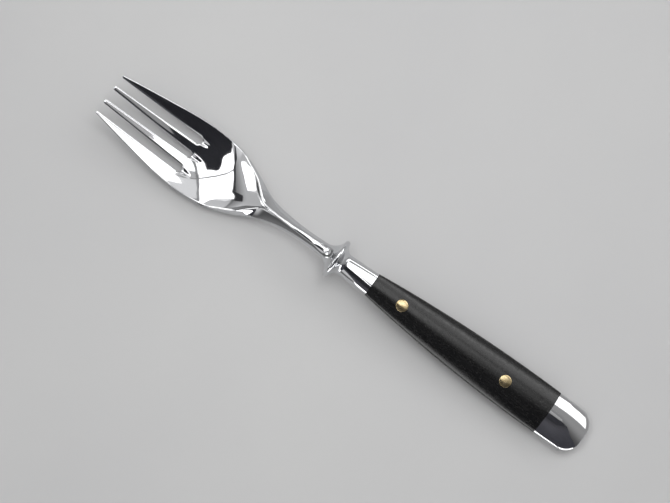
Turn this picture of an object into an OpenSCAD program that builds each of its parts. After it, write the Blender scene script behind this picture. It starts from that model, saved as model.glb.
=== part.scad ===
// Dinner fork with a forged steel head and tang, two riveted scales and an end cap.
// It lies on the table with its tines up. X runs from the tine tips to the butt, Y runs
// across and Z is up. The origin is on the table, under the middle of the fork.

/* [Fork] */
// Length from the tine tips to the butt
fork_length = 205; // [195:1:215]
// Slope of the handle, down towards the butt, in degrees
handle_slope = 3.3; // [2.6:0.1:4]
// Distance from the tine tips to the middle of the collar
collar_station = 99; // [96:0.1:102]

/* [Head] */
// Greatest width of the head
head_width = 26.4; // [24:0.1:28]
// Distance from the tips to the pointed end of the bowl
bowl_length = 67; // [64:0.1:69]
// Height of the tine tips above the table
tip_height = 11.8; // [9:0.1:14]
// Depth of the dish across the widest part of the bowl
dish_depth = 2.2; // [1.4:0.1:2.8]
// Thickness of the bowl above the point where it rests
bowl_thickness = 2.4; // [2:0.1:3]
// Thickness of the tines at their tips
tip_thickness = 1.2; // [0.9:0.1:1.6]
// Distance between the outer edges of the outer tine tips
tip_spread = 16.4; // [14:0.1:18]

/* [Tines] */
// Length of the gaps between the tines
gap_length = 35.4; // [32:0.1:40]
// Width of the two outer gaps at their round roots
gap_width = 2.9; // [2.5:0.1:3.3]
// Width of the middle gap at its round root
middle_gap_width = 2.3; // [2:0.1:2.8]
// Distance between the middles of two neighbouring gaps
gap_pitch = 6.1; // [5.8:0.1:6.3]
// Width of an inner tine at its tip
inner_tip_width = 1.6; // [1.3:0.1:1.9]
// Width of an outer tine at its tip
outer_tip_width = 0.9; // [0.7:0.1:1.2]
// Length of the blunt point at the end of each tine
tip_point = 0.8; // [0.5:0.1:1.2]

/* [Neck and collar] */
// Diameter of the neck at its thinnest
neck_diameter = 4.6; // [4:0.1:5.4]
// Diameter of the collar
collar_diameter = 15.2; // [13:0.1:16.5]
// Thickness of the collar's rim
collar_rim = 1.9; // [1.4:0.1:2.4]
// Radius of the flare from the neck up to the collar
neck_flare = 5.4; // [5:0.1:5.8]
// Radius of the flare from the collar down to the bolster
bolster_flare = 4.8; // [4:0.1:5.2]

/* [Handle] */
// Distance from the collar to the front end of the scales
scale_start = 15.2; // [13.5:0.1:16.5]
// Width of the bolster where it leaves the collar
bolster_width = 7.7; // [7:0.1:8.2]
// Greatest width of the handle
handle_width = 16.9; // [15.4:0.1:17.8]
// Distance from the handle's widest place to the end cap
widest_inset = 9.3; // [4:0.1:16]
// Radius of the handle's bowed sides, seen from above
side_radius = 545; // [500:5:650]
// Thickness of the handle at the front end of the scales
front_thickness = 7.4; // [6.6:0.1:8.2]
// Thickness of the handle at the front edge of the end cap
rear_thickness = 9.4; // [8.6:0.1:10.2]
// Crown radius across the handle at the front end of the scales
front_crown = 7.6; // [6.5:0.1:9]
// Crown radius across the handle at the front edge of the end cap
rear_crown = 14.5; // [12:0.1:18]
// Thickness of the tang
tang_thickness = 1.4; // [1:0.1:2]

/* [End cap] */
// Length of the cap along the handle
cap_length = 15.4; // [13:0.1:18]
// Radius of the cap's corners, seen from above
cap_corner = 6; // [4:0.1:6.5]
// Length over which the cap thins towards the butt
cap_fall = 11; // [8:0.1:13]
// Thickness of the cap at the butt
butt_thickness = 5; // [4:0.1:7]
// Length of the tang's tenon inside the cap
tenon_length = 8; // [5:0.1:9]
// Width of the tenon
tenon_width = 9; // [7:0.1:11]

/* [Rivets] */
// Distance from the collar to the front rivet
front_rivet_station = 27.9; // [24:0.1:32]
// Distance from the rear rivet to the end cap
rear_rivet_inset = 18.5; // [14:0.1:24]
// Diameter of the rivet heads
rivet_head = 4.4; // [3.6:0.1:5]
// Depth of the rivet heads at their middle
rivet_head_depth = 1.6; // [1.2:0.1:2]
// Outer diameter of the rivet sleeve
sleeve_diameter = 3; // [2.6:0.1:3.4]
// Diameter of the rivet stem
stem_diameter = 2; // [1.6:0.1:2.2]
// Clearance around the rivets and the tenon
fit_clearance = 0.05; // [0.03:0.01:0.1]

/* [Hidden] */
$fn = 96;

steel = "silver";
scale_black = "#202022";
brass = "goldenrod";

// Half sizes of the head and the neck
head_half = head_width / 2;
neck_radius = neck_diameter / 2;
gap_root = gap_length - gap_width / 2;

// Level groove behind each gap's root: its depth at the root and its length
runout_depth = 0.65;
runout_length = 5;

// Handle along its own axis, from the collar: its whole length and the stations counted from the cap
butt_half = butt_thickness / 2;
handle_length = (fork_length - collar_station - butt_half * sin(handle_slope)) / cos(handle_slope);
cap_start = handle_length - cap_length;
widest_station = cap_start - widest_inset;
rear_rivet_station = cap_start - rear_rivet_inset;

// Crowns of the handle: half thickness and crown radius grow evenly from the collar to the butt
crown_rate = (rear_crown - front_crown) / (cap_start - scale_start);
rise_rate = (rear_thickness - front_thickness) / 2 / (cap_start - scale_start);
nose_crown = front_crown - crown_rate * scale_start;
crown_drop = atan(crown_rate - rise_rate);
function crown_half(x) = front_thickness / 2 + rise_rate * (x - scale_start);

// Half width of the handle's bowed sides at a distance from the collar
function side_half(x) =
    handle_width / 2 - side_radius + sqrt(pow(side_radius, 2) - pow(x - widest_station, 2));

// Height of the seat under a rivet head
function head_seat(station) = crown_half(station) - rivet_head_depth;

// Handle frame: its X axis runs through the collar's middle and slopes down to the butt.
// The collar's height sets the lowest point of the falling cap on the table.
// The fall starts a hair above the crown, so that the two surfaces cross.
cap_lift = 0.02;
cap_fall_station = handle_length - cap_fall;
cap_crest = crown_half(cap_fall_station) + cap_lift;
cap_fall_drop = cap_crest - butt_half;
cap_fall_radius = (pow(cap_fall, 2) + pow(cap_fall_drop, 2)) / (2 * cap_fall_drop);
axis_height = cap_fall_station * sin(handle_slope)
    + (cap_crest - cap_fall_radius) * cos(handle_slope) + cap_fall_radius;

// Collar: half its rim, the roots of its flares and where each flare meets the round rim.
// The front flare starts a little above the neck and the back one a little below the bolster's top.
// The flares bite a little into the rim, so that the two curves cross.
rim_half = collar_rim / 2;
rim_middle = collar_diameter / 2 - rim_half;
flare_bite = 0.02;
flare_step = 0.25;
flare_root = neck_radius + flare_step;
bolster_step = 0.5;
bolster_root = front_thickness / 2 - bolster_step;
front_offset = flare_root + neck_flare - rim_middle;
back_offset = bolster_root + bolster_flare - rim_middle;
flare_front = sqrt(pow(neck_flare + rim_half - flare_bite, 2) - pow(front_offset, 2));
flare_back = sqrt(pow(bolster_flare + rim_half - flare_bite, 2) - pow(back_offset, 2));
front_meet = rim_middle + front_offset * rim_half / (neck_flare + rim_half);
back_meet = rim_middle + back_offset * rim_half / (bolster_flare + rim_half);

// End of the neck's own shape, which laps into the collar's flare just below its surface
neck_lap = 1;
lap_gap = 0.03;
lap_radius = flare_root - lap_gap;
neck_end = collar_station - flare_front + neck_lap;
neck_end_height = axis_height + (flare_front - neck_lap) * sin(handle_slope);

// Stations of the neck: where it leaves the bowl, its middle and its thinnest place
neck_front = bowl_length + 5;
neck_middle = bowl_length + 12;
neck_thin = bowl_length + 19.5;

// Ridge of the neck: half its width at both ends and at the thinnest place, and the slight hollow along it
ridge_half = 0.3;
ridge_wide = 0.85;
ridge_hollow = 0.02;

// Least distance of the bowl's edge from the outer edge
rim_inset = 0.2;

// Blunt point of a tine: share of its thickness left, and share of its width lost on each side
point_thickness = 0.4;
point_loss = 1 / 3;

// Lines of the head and neck, as pairs of distance from the tips and value.
// Outer edge, half the width:
edge_line = [
    [0, tip_spread / 2],
    [0.16 * bowl_length, 0.765 * head_half],
    [0.32 * bowl_length, 0.89 * head_half],
    [0.45 * bowl_length, 0.978 * head_half],
    [0.58 * bowl_length, head_half],
    [0.7 * bowl_length, 0.94 * head_half],
    [0.81 * bowl_length, 0.805 * head_half],
    [0.905 * bowl_length, 0.6 * head_half],
    [bowl_length, 0.362 * head_half],
    [neck_front, neck_radius + 1.18],
    [neck_middle, neck_radius + 0.32],
    [neck_thin, neck_radius],
    [neck_end, lap_radius]
];
// Edge of the bowl, half its width, which closes to a point like an arch
bowl_line = [
    [0, head_half],
    [0.7 * bowl_length, 0.94 * head_half],
    [0.805 * bowl_length, 0.72 * head_half],
    [0.868 * bowl_length, 0.56 * head_half],
    [0.905 * bowl_length, 0.44 * head_half],
    [0.947 * bowl_length, 0.24 * head_half],
    [0.985 * bowl_length, 0.07 * head_half],
    [bowl_length, ridge_half],
    [neck_thin, ridge_wide],
    [neck_end, ridge_half]
];
// Top of the metal on the middle line: floor of the bowl, then ridge of the neck
top_line = [
    [0, tip_height],
    [0.18 * bowl_length, 0.7 * tip_height],
    [0.36 * bowl_length, 0.435 * tip_height],
    [0.54 * bowl_length, bowl_thickness + 0.65],
    [0.65 * bowl_length, bowl_thickness],
    [0.76 * bowl_length, bowl_thickness + 0.55],
    [0.87 * bowl_length, bowl_thickness + 2.6],
    [bowl_length, 0.68 * neck_end_height + 1.6],
    [neck_front, 0.81 * neck_end_height + 1.96],
    [neck_middle, 0.935 * neck_end_height + 2.2],
    [neck_thin, neck_end_height + neck_radius],
    [neck_end, neck_end_height + lap_radius]
];
// Thickness on the middle line
thickness_line = [
    [0, tip_thickness],
    [0.3 * bowl_length, 0.75 * bowl_thickness],
    [0.65 * bowl_length, bowl_thickness],
    [0.76 * bowl_length, bowl_thickness + 0.2],
    [0.9 * bowl_length, bowl_thickness + 1.2],
    [neck_front, 2 * neck_radius - 0.25],
    [neck_thin, 2 * neck_radius],
    [neck_end, 2 * lap_radius]
];
// Rise of the bowl's edge above its floor
dish_line = [
    [0, 0.25 * dish_depth],
    [0.3 * bowl_length, 0.52 * dish_depth],
    [0.57 * bowl_length, 0.89 * dish_depth],
    [0.69 * bowl_length, dish_depth],
    [0.81 * bowl_length, 0.86 * dish_depth],
    [0.905 * bowl_length, 0.52 * dish_depth],
    [bowl_length, ridge_hollow],
    [neck_end, ridge_hollow]
];
// Fall of the shoulders from the bowl's edge to the outer edge
shoulder_line = [
    [0, 0.15],
    [0.62 * bowl_length, 0.2],
    [0.75 * bowl_length, 0.8],
    [0.87 * bowl_length, 2.1],
    [bowl_length, 1.3 * neck_radius],
    [neck_front, 1.37 * neck_radius],
    [neck_middle, 1.28 * neck_radius],
    [neck_thin, 1.09 * neck_radius],
    [neck_end, lap_radius]
];
// Upright edge below the shoulders
wall_line = [
    [0, 0.8],
    [0.45 * bowl_length, 1.3],
    [0.66 * bowl_length, 1.4],
    [0.84 * bowl_length, 0.9],
    [bowl_length, 0.3],
    [neck_middle, ridge_hollow],
    [neck_end, ridge_hollow]
];
// Roundness of the shoulders: 1 is straight and 2 is a quarter round
shoulder_round = [
    [0, 1.3],
    [0.85 * bowl_length, 1.2],
    [bowl_length, 1.12],
    [neck_middle, 1.15],
    [neck_thin, 1.5],
    [neck_end, 2]
];
// Roundness of the underside: 1 is a flat arc and 0.5 is a half round
underside_round = [[0, 1], [0.6 * bowl_length, 1], [neck_front, 0.5], [neck_end, 0.5]];

// Steps along the head and neck, and around each section, with as many below as above
point_steps = 4;
head_steps = 64;
bowl_steps = 14;
shoulder_steps = 5;
underside_steps = bowl_steps + 2 * shoulder_steps;

// Steps along the bolster and over its top, and the squareness of its section: 2 is an ellipse
bolster_steps = 6;
bolster_arc_steps = 24;
bolster_square = 2.2;

// Smooth curve through points of rising x: slope at a point, then value at x
function slope_at(p, i) =
    let (a = max(i - 1, 0), b = min(i + 1, len(p) - 1))
    (p[b][1] - p[a][1]) / (p[b][0] - p[a][0]);
function curve(p, x, i = 0) =
    i < len(p) - 2 && x > p[i + 1][0] ? curve(p, x, i + 1) :
    let (span = p[i + 1][0] - p[i][0], t = (x - p[i][0]) / span, u = 1 - t)
    u * u * (1 + 2 * t) * p[i][1] + t * t * (3 - 2 * t) * p[i + 1][1]
        + span * t * u * (u * slope_at(p, i) - t * slope_at(p, i + 1));

// Half of the shoulders' profile, from the bowl's edge (share 0) to the outer edge (share 1)
function shoulder_out(share, bend) = pow(sin(90 * share), 2 / bend);
function shoulder_up(share, bend) = pow(cos(90 * share), 2 / bend);

// One section of the head and neck, as points along its top from side to side and back below
function section(s) =
    let (
        point = s < tip_point ? sqrt(1 - pow(1 - s / tip_point, 2)) : 1,
        solidity = point_thickness + (1 - point_thickness) * point,
        half = curve(edge_line, s) - outer_tip_width * point_loss * (1 - point),
        bowl_half = max(ridge_half, min(half - rim_inset, curve(bowl_line, s))),
        floor_z = curve(top_line, s),
        rim_z = floor_z + curve(dish_line, s),
        edge_z = rim_z - curve(shoulder_line, s),
        wall_z = edge_z - curve(wall_line, s) * solidity,
        under_z = floor_z - curve(thickness_line, s) * solidity,
        bend = curve(shoulder_round, s),
        sag = curve(underside_round, s),
        shoulder = [
            for (i = [1 : shoulder_steps])
                let (share = i / shoulder_steps)
                [
                    bowl_half + (half - bowl_half) * shoulder_out(share, bend),
                    edge_z + (rim_z - edge_z) * shoulder_up(share, bend)
                ]
        ]
    )
    [
        for (i = [shoulder_steps - 1 : -1 : 0]) [s, -shoulder[i][0], shoulder[i][1]],
        for (i = [0 : bowl_steps])
            let (share = 2 * i / bowl_steps - 1)
            [s, bowl_half * share, floor_z + (rim_z - floor_z) * share * share],
        for (i = [0 : shoulder_steps - 1]) [s, shoulder[i][0], shoulder[i][1]],
        for (i = [0 : underside_steps])
            let (t = cos(180 * i / underside_steps))
            [s, half * t, wall_z - (wall_z - under_z) * pow(1 - t * t, sag)]
    ];

// Solid through a row of sections, each with the same number of points above and below
module loft(sections) {
    last = len(sections) - 1;
    n = len(sections[0]);
    sides = [
        for (i = [0 : last - 1], j = [0 : n - 1])
            let (a = i * n + j, b = i * n + (j + 1) % n)
            each [[a, b, b + n], [a, b + n, a + n]]
    ];
    ends = [
        for (j = [0 : n / 2 - 2])
            each [[j, j + 1, n - 1 - j], [j + 1, n - 2 - j, n - 1 - j]]
    ];
    front = [for (face = ends) [face[2], face[1], face[0]]];
    back = [for (face = ends) [for (corner = face) last * n + corner]];
    polyhedron([for (section = sections) each section], concat(front, sides, back));
}

// Places what is drawn in distances from the tips
module from_tips() {
    translate([-fork_length / 2, 0, 0]) children();
}

// Places what is drawn along the handle's own axis, measured from the collar
module along_handle() {
    translate([collar_station - fork_length / 2, 0, axis_height])
        rotate([0, handle_slope, 0]) children();
}

// Head and neck as one forged blank, before the gaps are cut
module head_blank() {
    points = [for (i = [0 : point_steps - 1]) tip_point * i / point_steps];
    rest = [for (i = [0 : head_steps]) tip_point + (neck_end - tip_point) * i / head_steps];
    loft([for (s = concat(points, rest)) section(s)]);
}

// Plan of one gap between tines: straight walls that part towards the tips, and a round root
module gap_plan(width, widen_left, widen_right) {
    half = width / 2;
    blunt = inner_tip_width * point_loss;
    polygon([
        [0, -half - widen_right - blunt],
        [tip_point, -half - widen_right],
        [gap_root, -half],
        [gap_root, half],
        [tip_point, half + widen_left],
        [0, half + widen_left + blunt]
    ]);
    translate([-width, -half - widen_right - blunt])
        square([width, width + widen_left + widen_right + 2 * blunt]);
    translate([gap_root, 0]) circle(d = width);
}

// The three gaps, each with a groove that runs out behind its root
module gaps() {
    inner_widen = (gap_pitch - (gap_width + middle_gap_width) / 2 - inner_tip_width) / 2;
    outer_widen = tip_spread / 2 - outer_tip_width - gap_pitch - gap_width / 2;
    for (side = [-1, 0, 1]) {
        width = side == 0 ? middle_gap_width : gap_width;
        left = side > 0 ? outer_widen : inner_widen;
        right = side < 0 ? outer_widen : inner_widen;
        rise = curve(dish_line, gap_root) * pow(side * gap_pitch / head_half, 2);
        translate([0, side * gap_pitch, -bowl_thickness])
            linear_extrude(2 * tip_height) gap_plan(width, left, right);
        translate([gap_root, side * gap_pitch, curve(top_line, gap_root) + rise - runout_depth])
            translate([0, 0, width / 2]) rotate([0, 90, 0])
            cylinder(h = runout_length, d = width);
    }
}

// Round collar with a hollow flare on each side, turned about the handle's axis
module collar() {
    rotate([0, 90, 0]) rotate_extrude() difference() {
        union() {
            translate([0, -flare_front]) square([front_meet, flare_front]);
            square([back_meet, flare_back]);
            translate([rim_middle, 0]) circle(r = rim_half);
        }
        translate([flare_root + neck_flare, -flare_front]) circle(r = neck_flare);
        translate([bolster_root + bolster_flare, flare_back]) circle(r = bolster_flare);
    }
}

// Plan of the handle from the collar to the butt, with bowed sides and round corners
module handle_plan() {
    corner_station = handle_length - cap_corner;
    corner_side = side_half(corner_station) - cap_corner;
    intersection() {
        translate([widest_station, side_radius - handle_width / 2]) circle(r = side_radius, $fn = 256);
        translate([widest_station, handle_width / 2 - side_radius]) circle(r = side_radius, $fn = 256);
        union() {
            translate([0, -handle_width]) square([corner_station, 2 * handle_width]);
            translate([0, -corner_side]) square([handle_length, 2 * corner_side]);
            for (side = [-1, 1]) translate([corner_station, side * corner_side]) circle(r = cap_corner);
        }
    }
}

// One crown of the handle: a cone that widens towards the butt, with its top line on the crown
module crown() {
    reach = 1.5 * handle_length;
    translate([0, 0, crown_half(0) - nose_crown]) rotate([0, 90 + crown_drop, 0])
        cylinder(h = reach, r1 = nose_crown, r2 = nose_crown + reach * crown_rate);
}

// Part of the handle with a given plan, between the upper and the lower crown
module crowned() {
    intersection() {
        translate([0, 0, -rear_thickness]) linear_extrude(2 * rear_thickness) children();
        crown();
        mirror([0, 0, 1]) crown();
    }
}

// Part of the handle's plan between two stations
module plan_stretch(from, to) {
    intersection() {
        handle_plan();
        translate([from, -handle_width]) square([to - from, 2 * handle_width]);
    }
}

// One section of the bolster: flat sides as high as the tang, rounded over above and below
function bolster_section(x) =
    let (
        front = bolster_width / 2,
        half = front + (side_half(scale_start) - front) * x / scale_start,
        flat = tang_thickness / 2,
        bend = 2 / bolster_square
    )
    [
        for (side = [1, -1], i = [0 : bolster_arc_steps])
            let (turn = 180 * i / bolster_arc_steps, out = cos(turn))
            [
                x,
                -side * half * sign(out) * pow(abs(out), bend),
                side * (flat + (crown_half(x) - flat) * pow(sin(turn), bend))
            ]
    ];

// Block between the collar and the scales
module bolster() {
    loft([for (i = [0 : bolster_steps]) bolster_section(scale_start * i / bolster_steps)]);
}

// Both rivet holes through the handle, between two heights
module rivet_holes(diameter, low, high) {
    for (station = [front_rivet_station, rear_rivet_station])
        translate([station, 0, low]) cylinder(h = high - low, d = diameter);
}

// Flat tang from the bolster to the end of its tenon
module tang() {
    translate([0, 0, -tang_thickness / 2]) linear_extrude(tang_thickness) {
        plan_stretch(scale_start - tenon_length, cap_start);
        translate([cap_start - tenon_length, -tenon_width / 2]) square([2 * tenon_length, tenon_width]);
    }
}

// One piece of steel: tines, bowl, neck, collar, bolster and tang
module fork_forging() {
    color(steel) difference() {
        union() {
            from_tips() head_blank();
            along_handle() {
                collar();
                bolster();
                tang();
            }
        }
        from_tips() gaps();
        along_handle() rivet_holes(sleeve_diameter + 2 * fit_clearance, -tang_thickness, tang_thickness);
    }
}

// Handle slab above the tang, with a through hole and a seat for each rivet head
module upper_scale_solid() {
    difference() {
        crowned() plan_stretch(scale_start, cap_start);
        translate([0, -handle_width, tang_thickness / 2 - 2 * rear_thickness])
            cube([handle_length, 2 * handle_width, 2 * rear_thickness]);
        rivet_holes(sleeve_diameter + 2 * fit_clearance, 0, rear_thickness);
        for (station = [front_rivet_station, rear_rivet_station])
            translate([station, 0, head_seat(station)])
                cylinder(h = rear_thickness, d = rivet_head + 2 * fit_clearance);
    }
}

module upper_scale() {
    color(scale_black) along_handle() upper_scale_solid();
}

module lower_scale() {
    color(scale_black) along_handle() mirror([0, 0, 1]) upper_scale_solid();
}

// Steel cap that closes the butt and takes the tenon in its socket
module end_cap() {
    socket_width = tenon_width + 2 * fit_clearance;
    socket_height = tang_thickness + 2 * fit_clearance;
    color(steel) along_handle() difference() {
        intersection() {
            crowned() plan_stretch(cap_start, handle_length);
            union() {
                translate([cap_start - tenon_length, -handle_width, -rear_thickness])
                    cube([cap_fall_station - cap_start + tenon_length, 2 * handle_width, 2 * rear_thickness]);
                intersection() {
                    cap_fall_side();
                    mirror([0, 0, 1]) cap_fall_side();
                }
            }
        }
        translate([cap_start - tenon_length, -socket_width / 2, -socket_height / 2])
            cube([2 * tenon_length + fit_clearance, socket_width, socket_height]);
    }
}

// Falling end of the cap: the crown carried round an axis across the handle
module cap_fall_side() {
    arch = front_crown + crown_rate * (cap_fall_station - scale_start);
    translate([cap_fall_station, 0, cap_crest - cap_fall_radius]) rotate([90, 0, 0])
        rotate_extrude() intersection() {
            translate([cap_fall_radius - arch, 0]) circle(r = arch);
            translate([0, -handle_width]) square([cap_fall_radius, 2 * handle_width]);
        }
}

// Flush rivet head, cut to the crown that it sits in
module rivet_head_solid(station) {
    intersection() {
        translate([station, 0, head_seat(station)]) cylinder(h = rear_thickness, d = rivet_head);
        crown();
    }
}

// Upper rivet half: a head and a stem that ends just above the bottom of the sleeve
module rivet_stem(station) {
    seat = head_seat(station);
    color(brass) along_handle() {
        rivet_head_solid(station);
        translate([station, 0, fit_clearance - seat])
            cylinder(h = 2 * seat - fit_clearance + rivet_head_depth / 2, d = stem_diameter);
    }
}

// Lower rivet half: a head and a sleeve that takes the stem
module rivet_sleeve(station) {
    seat = head_seat(station);
    color(brass) along_handle() {
        difference() {
            union() {
                mirror([0, 0, 1]) rivet_head_solid(station);
                translate([station, 0, -seat - rivet_head_depth / 2])
                    cylinder(h = 2 * seat - fit_clearance + rivet_head_depth / 2, d = sleeve_diameter);
            }
            translate([station, 0, -seat])
                cylinder(h = 2 * rear_thickness, d = stem_diameter + 2 * fit_clearance);
        }
    }
}

module front_rivet_stem() {
    rivet_stem(front_rivet_station);
}

module front_rivet_sleeve() {
    rivet_sleeve(front_rivet_station);
}

module rear_rivet_stem() {
    rivet_stem(rear_rivet_station);
}

module rear_rivet_sleeve() {
    rivet_sleeve(rear_rivet_station);
}

fork_forging();
upper_scale();
lower_scale();
end_cap();
front_rivet_stem();
front_rivet_sleeve();
rear_rivet_stem();
rear_rivet_sleeve();
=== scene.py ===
import math

import bmesh
import bpy
import numpy as np
from mathutils import Matrix, Vector


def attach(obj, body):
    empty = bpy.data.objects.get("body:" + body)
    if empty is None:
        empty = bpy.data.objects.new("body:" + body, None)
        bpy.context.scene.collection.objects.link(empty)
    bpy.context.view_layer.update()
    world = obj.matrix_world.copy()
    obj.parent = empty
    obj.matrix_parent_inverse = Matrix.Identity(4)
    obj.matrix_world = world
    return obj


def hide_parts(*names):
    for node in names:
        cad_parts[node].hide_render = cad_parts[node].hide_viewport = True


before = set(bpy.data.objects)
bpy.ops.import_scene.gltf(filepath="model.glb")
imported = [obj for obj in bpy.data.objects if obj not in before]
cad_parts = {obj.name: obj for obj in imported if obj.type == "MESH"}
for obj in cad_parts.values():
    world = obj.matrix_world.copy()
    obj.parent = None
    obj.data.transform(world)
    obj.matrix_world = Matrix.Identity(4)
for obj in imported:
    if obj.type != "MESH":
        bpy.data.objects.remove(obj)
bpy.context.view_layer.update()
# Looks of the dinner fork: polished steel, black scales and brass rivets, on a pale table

MM = 0.001
TINY = 1e-6

# Sizes in millimetres, as in the part's source
FORK_LENGTH = 205.0
HANDLE_SLOPE = math.radians(3.3)
COLLAR_STATION = 99.0
HEAD_HALF = 13.2
BOWL_LENGTH = 67.0
BOWL_THICKNESS = 2.4
DISH_DEPTH = 2.2
TIP_HEIGHT = 11.8
TIP_THICKNESS = 1.2
TIP_SPREAD = 16.4
TIP_POINT = 0.8
INNER_TIP = 1.6
OUTER_TIP = 0.9
GAP_LENGTH = 35.4
GAP_HALF = 1.45
MIDDLE_GAP_HALF = 1.15
GAP_PITCH = 6.1
NECK_RADIUS = 2.3
NECK_FLARE = 5.4
COLLAR_RADIUS = 7.6
RIM_HALF = 0.95
BOLSTER_FLARE = 4.8
BOLSTER_HALF = 3.85
SCALE_START = 15.2
HANDLE_HALF = 8.45
WIDEST_INSET = 9.3
SIDE_RADIUS = 545.0
FRONT_HALF = 3.7
REAR_HALF = 4.7
FRONT_CROWN = 7.6
REAR_CROWN = 14.5
TANG_HALF = 0.7
TENON_LENGTH = 8.0
TENON_HALF = 4.5
CAP_LENGTH = 15.4
CAP_CORNER = 6.0
CAP_FALL = 11.0
CAP_LIFT = 0.02
BUTT_HALF = 2.5
FRONT_RIVET = 27.9
REAR_RIVET_INSET = 18.5
RIVET_RADIUS = 2.2
RIVET_DEPTH = 1.6
SLEEVE_RADIUS = 1.5
STEM_RADIUS = 1.0
CLEARANCE = 0.05

# Handle along its own axis, from the collar
SLOPE_SINE = math.sin(HANDLE_SLOPE)
SLOPE_COSINE = math.cos(HANDLE_SLOPE)
HANDLE_LENGTH = (FORK_LENGTH - COLLAR_STATION - BUTT_HALF * SLOPE_SINE) / SLOPE_COSINE
CAP_START = HANDLE_LENGTH - CAP_LENGTH
WIDEST = CAP_START - WIDEST_INSET
REAR_RIVET = CAP_START - REAR_RIVET_INSET
CROWN_RATE = (REAR_CROWN - FRONT_CROWN) / (CAP_START - SCALE_START)
RISE_RATE = (REAR_HALF - FRONT_HALF) / (CAP_START - SCALE_START)


def crown_half(x):
    """Half the handle's height on its middle line."""
    return FRONT_HALF + RISE_RATE * (x - SCALE_START)


def crown_top(x, y):
    """Height of the handle's crown above its axis."""
    radius = FRONT_CROWN + CROWN_RATE * (x - SCALE_START)
    return crown_half(x) - radius + np.sqrt(radius ** 2 - y ** 2)


def side_half(x):
    """Half the handle's width."""
    return HANDLE_HALF - SIDE_RADIUS + np.sqrt(SIDE_RADIUS ** 2 - (x - WIDEST) ** 2)


# The cap falls to the butt in an arc, whose lowest point below rests on the table
FALL_START = HANDLE_LENGTH - CAP_FALL
CAP_CREST = crown_half(FALL_START) + CAP_LIFT
FALL_DROP = CAP_CREST - BUTT_HALF
FALL_RADIUS = (CAP_FALL ** 2 + FALL_DROP ** 2) / (2 * FALL_DROP)
AXIS_HEIGHT = FALL_START * SLOPE_SINE + (CAP_CREST - FALL_RADIUS) * SLOPE_COSINE + FALL_RADIUS


def from_tips(points):
    """Head points (distance from the tips, across, up) in the shared frame, in metres."""
    return (np.asarray(points, float) - [FORK_LENGTH / 2, 0, 0]) * MM


def along_handle(points):
    """Handle points (distance from the collar, across, above the axis) in the shared frame, in metres."""
    x, y, z = np.moveaxis(np.asarray(points, float), -1, 0)
    along = COLLAR_STATION - FORK_LENGTH / 2 + x * SLOPE_COSINE + z * SLOPE_SINE
    height = AXIS_HEIGHT - x * SLOPE_SINE + z * SLOPE_COSINE
    return np.stack([along, y, height], -1) * MM


# Mesh helpers
MERGE_REACH = 2e-7
FLAT_REACH = 1e-8
CREASE = math.radians(50)


class Shell:
    """Collects points and faces of one piece."""

    def __init__(self):
        self.points = []
        self.faces = []

    def add(self, points):
        """Adds an array of points of any shape and returns their numbers in the same shape."""
        points = np.asarray(points, float)
        first = len(self.points)
        self.points.extend(points.reshape(-1, 3))
        return np.arange(first, len(self.points)).reshape(points.shape[:-1])

    def grid(self, ids, keep=None):
        """Joins a grid of point numbers with quads, only where keep is true if that is given."""
        quads = np.stack([ids[:-1, :-1], ids[1:, :-1], ids[1:, 1:], ids[:-1, 1:]], -1)
        self.faces.extend((quads.reshape(-1, 4) if keep is None else quads[keep]).tolist())

    def tube(self, loops):
        """Joins a row of closed loops of point numbers."""
        loops = np.asarray(loops)
        self.grid(np.concatenate([loops, loops[:, :1]], 1))

    def face(self, loop):
        self.faces.append([int(number) for number in loop])

    def plugged_tube(self, loops):
        """Joins a row of closed loops and closes both ends."""
        self.tube(loops)
        self.face(loops[0])
        self.face(loops[-1])

    def build(self, name, material, node):
        """Makes the piece that stands for a node of the part."""
        mesh = bpy.data.meshes.new(name)
        mesh.from_pydata([tuple(point) for point in self.points], [], self.faces)
        work = bmesh.new()
        work.from_mesh(mesh)
        bmesh.ops.remove_doubles(work, verts=work.verts, dist=MERGE_REACH)
        bmesh.ops.dissolve_degenerate(work, edges=work.edges, dist=FLAT_REACH)
        bmesh.ops.recalc_face_normals(work, faces=work.faces)
        work.to_mesh(mesh)
        work.free()
        mesh.shade_smooth()
        mesh.set_sharp_from_angle(angle=CREASE)
        mesh.materials.append(material)
        piece = bpy.data.objects.new(name, mesh)
        bpy.context.scene.collection.objects.link(piece)
        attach(piece, "root")
        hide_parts(node)


def steps(count):
    """Shares from 0 to 1, close together at both ends."""
    return (1 - np.cos(np.pi * np.arange(count + 1) / count)) / 2


def half_steps(count):
    """Shares from 0 to 1, close together at the end."""
    return np.sin(np.pi / 2 * np.arange(count + 1) / count)


def ease(share):
    """Share from 0 to 1 that starts and ends gently."""
    return share * share * (3 - 2 * share)


def smooth_min(first, second, reach):
    """The lesser of two heights, rounded where they meet."""
    share = np.clip(0.5 + 0.5 * (second - first) / reach, 0, 1)
    return second + (first - second) * share - reach * share * (1 - share)


def fall(distance, across, down):
    """Drop of a rounded edge at a distance from it."""
    share = np.clip(1 - distance / across, 0, 1)
    return down * (1 - np.sqrt(1 - share * share))


def arc(middle, radius, start, end, count):
    """Points of an arc in a plane, between two angles."""
    angle = np.linspace(start, end, count)
    return np.stack([middle[0] + radius * np.cos(angle), middle[1] + radius * np.sin(angle)], -1)


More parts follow.
